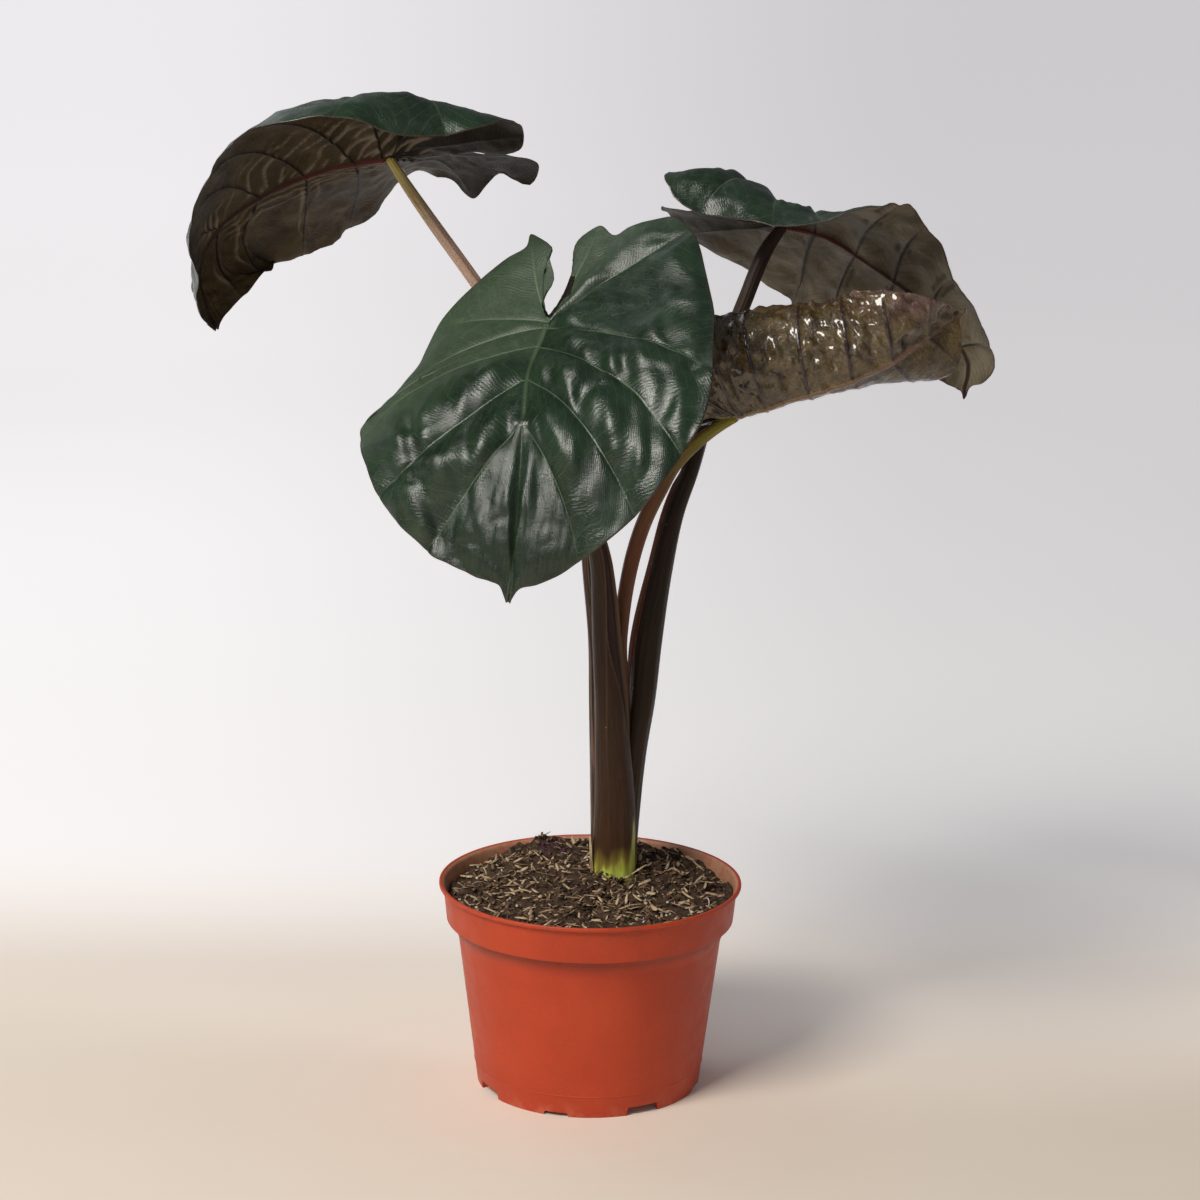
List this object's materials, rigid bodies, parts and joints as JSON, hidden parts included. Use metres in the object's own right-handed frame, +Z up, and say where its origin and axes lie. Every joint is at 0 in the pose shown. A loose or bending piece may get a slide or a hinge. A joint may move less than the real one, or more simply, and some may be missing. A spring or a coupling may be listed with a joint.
{
  "type": "potted serendipity alocasia",
  "caption": "Potted foliage plant with broad heart-shaped leaf blades on tall sheathing stalks, one blade still rolled, in a round plastic nursery pot of dark soil.",
  "frame": {"origin": "the pot's axis on the surface that the pot stands on", "axes": "+Z up; -Y is the front of the plant, where the lowest leaf hangs; +X is its right, where the new leaf points"},
  "size_m": [0.4831, 0.3133, 0.6197],
  "materials": {
    "pot_plastic": "satin",
    "soil": "matte",
    "corm": "matte",
    "bract": "matte",
    "stalk": "satin",
    "new_stalk": "satin",
    "blade": "satin",
    "new_blade": "gloss"
  },
  "bodies": {
    "root": {"pot": "pot_plastic", "soil": "soil", "corm_and_roots": "corm", "dry_bract": "bract", "stalk_front": "stalk", "stalk_left": "stalk", "stalk_right": "stalk", "stalk_new": "new_stalk", "blade_front": "blade", "blade_left": "blade", "blade_right": "blade", "blade_new": "new_blade"}
  },
  "joints": []
}
